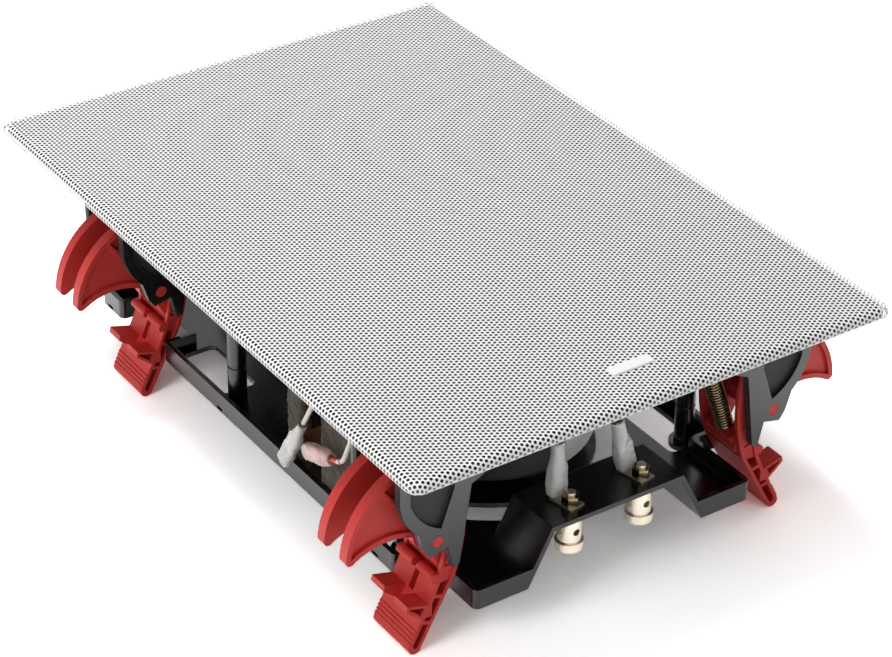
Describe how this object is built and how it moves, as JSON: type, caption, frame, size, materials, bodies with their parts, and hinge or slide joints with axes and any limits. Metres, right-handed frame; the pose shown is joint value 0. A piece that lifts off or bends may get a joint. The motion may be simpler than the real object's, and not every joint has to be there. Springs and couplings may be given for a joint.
{
  "type": "in wall speaker",
  "caption": "Rectangular two-way in-wall speaker with a perforated magnetic grille, a woofer and tweeter on a baffle, an open rear tray and sprung wall clamps.",
  "frame": {"origin": "centre of the wall cut-out, in the plane of the wall's face, which the flange's underside meets", "axes": "+Z out of the wall into the room, +Y along the long side away from the terminals, +X along the short side"},
  "size_m": [0.2462, 0.34, 0.1133],
  "materials": {
    "white_painted_steel": "fine matt powder coat",
    "black_cloth": "fine open weave",
    "black_plastic": "moulded, lightly grained",
    "nickel": "nickel plated",
    "cast_aluminium": "black painted casting",
    "cone_paper": "pressed pulp",
    "black_rubber": "satin",
    "copper_wire": "enamelled winding",
    "spider_cloth": "impregnated cloth",
    "zinc_steel": "bright zinc",
    "ferrite": "fired, matt",
    "black_steel": "black oxide",
    "phenolic_board": "pressed laminate",
    "dome_aluminium": "satin",
    "pale_gold_brass": "turned and plated",
    "yellow_brass": "turned",
    "tinned_brass": "tinned",
    "clear_vinyl": "clear, slightly hazy",
    "circuit_board": "solder mask",
    "capacitor_film": "wrapped film",
    "resistor_ceramic": "cement",
    "brown_felt": "pressed felt",
    "lead_vinyl": "extruded",
    "grey_nylon": "moulded",
    "red_nylon": "moulded, satin",
    "spring_steel": "yellow passivated wire"
  },
  "bodies": {
    "chassis": {"front_frame": "black_plastic", "grille_magnets": "nickel", "woofer_basket": "cast_aluminium", "woofer_surround": "black_rubber", "woofer_spider": "spider_cloth", "woofer_top_plate": "zinc_steel", "woofer_magnet": "ferrite", "woofer_back_plate": "zinc_steel", "woofer_magnet_can": "zinc_steel", "woofer_screws": "black_steel", "woofer_terminal_strip": "phenolic_board", "tweeter_faceplate": "black_plastic", "tweeter_dome": "dome_aluminium", "tweeter_magnet": "zinc_steel", "tweeter_rear_cup": "black_plastic", "tweeter_screws": "black_steel", "rear_tray": "black_plastic", "tray_columns": "black_plastic", "frame_screws": "black_steel", "tray_screws": "black_steel", "binding_posts": "pale_gold_brass", "terminal_tags": "tinned_brass", "terminal_nuts": "yellow_brass", "terminal_receptacles": "tinned_brass", "terminal_sleeves": "clear_vinyl", "woofer_receptacles": "tinned_brass", "woofer_sleeves": "clear_vinyl", "crossover_board": "circuit_board", "crossover_inductors": "copper_wire", "crossover_capacitors": "capacitor_film", "crossover_resistor": "resistor_ceramic", "damping_felt": "brown_felt", "input_leads": "lead_vinyl", "woofer_leads": "lead_vinyl", "tweeter_leads": "lead_vinyl", "clamp_bracket_front_left": "grey_nylon", "clamp_bracket_front_right": "grey_nylon", "clamp_bracket_back_left": "grey_nylon", "clamp_bracket_back_right": "grey_nylon", "clamp_spring_front_left": "spring_steel", "clamp_spring_front_right": "spring_steel", "clamp_spring_back_left": "spring_steel", "clamp_spring_back_right": "spring_steel", "clamp_screws": "black_steel"},
    "grille_panel": {"grille": "white_painted_steel", "grille_scrim": "black_cloth", "grille_badge": "white_painted_steel"},
    "cone_assembly": {"woofer_cone": "cone_paper", "woofer_dust_cap": "cone_paper", "woofer_voice_coil": "copper_wire"},
    "arm_front_left": {"clamp_arm_front_left": "red_nylon"},
    "arm_front_right": {"clamp_arm_front_right": "red_nylon"},
    "arm_back_left": {"clamp_arm_back_left": "red_nylon"},
    "arm_back_right": {"clamp_arm_back_right": "red_nylon"},
    "latch_front_left": {"clamp_latch_front_left": "red_nylon"},
    "latch_front_right": {"clamp_latch_front_right": "red_nylon"},
    "latch_back_left": {"clamp_latch_back_left": "red_nylon"},
    "latch_back_right": {"clamp_latch_back_right": "red_nylon"}
  },
  "joints": [
    {"name": "grille_pull", "type": "slide", "parent": "chassis", "child": "grille_panel", "axis": [0, 0, 1], "range_m": [0, 0.02]},
    {"name": "cone_travel", "type": "slide", "parent": "chassis", "child": "cone_assembly", "axis": [0, 0, 1], "range_m": [-0.003, 0.003], "stiffness_N_per_m": 2500, "deforming": ["woofer_surround", "woofer_spider"]},
    {"name": "arm_front_left_swing", "type": "hinge", "parent": "chassis", "child": "arm_front_left", "pos_m": [-0.0849, -0.1215, -0.0513], "axis": [0, -1, 0], "range_deg": [0, 60], "stiffness_Nm_per_rad": 0.15, "springref_deg": -45.84, "deforming": ["clamp_spring_front_left"]},
    {"name": "arm_front_right_swing", "type": "hinge", "parent": "chassis", "child": "arm_front_right", "pos_m": [0.0849, -0.1215, -0.0513], "axis": [0, 1, 0], "range_deg": [0, 60], "stiffness_Nm_per_rad": 0.15, "springref_deg": -45.84, "deforming": ["clamp_spring_front_right"]},
    {"name": "arm_back_left_swing", "type": "hinge", "parent": "chassis", "child": "arm_back_left", "pos_m": [-0.0849, 0.1, -0.0513], "axis": [0, -1, 0], "range_deg": [0, 60], "stiffness_Nm_per_rad": 0.15, "springref_deg": -45.84, "deforming": ["clamp_spring_back_left"]},
    {"name": "arm_back_right_swing", "type": "hinge", "parent": "chassis", "child": "arm_back_right", "pos_m": [0.0849, 0.1, -0.0513], "axis": [0, 1, 0], "range_deg": [0, 60], "stiffness_Nm_per_rad": 0.15, "springref_deg": -45.84, "deforming": ["clamp_spring_back_right"]},
    {"name": "latch_front_left_press", "type": "hinge", "parent": "chassis", "child": "latch_front_left", "pos_m": [-0.0756, -0.1215, -0.0615], "axis": [0, -1, 0], "range_deg": [0, 10], "stiffness_Nm_per_rad": 0.2, "springref_deg": -22.92},
    {"name": "latch_front_right_press", "type": "hinge", "parent": "chassis", "child": "latch_front_right", "pos_m": [0.0756, -0.1215, -0.0615], "axis": [0, 1, 0], "range_deg": [0, 10], "stiffness_Nm_per_rad": 0.2, "springref_deg": -22.92},
    {"name": "latch_back_left_press", "type": "hinge", "parent": "chassis", "child": "latch_back_left", "pos_m": [-0.0756, 0.1, -0.0615], "axis": [0, -1, 0], "range_deg": [0, 10], "stiffness_Nm_per_rad": 0.2, "springref_deg": -22.92},
    {"name": "latch_back_right_press", "type": "hinge", "parent": "chassis", "child": "latch_back_right", "pos_m": [0.0756, 0.1, -0.0615], "axis": [0, 1, 0], "range_deg": [0, 10], "stiffness_Nm_per_rad": 0.2, "springref_deg": -22.92}
  ]
}
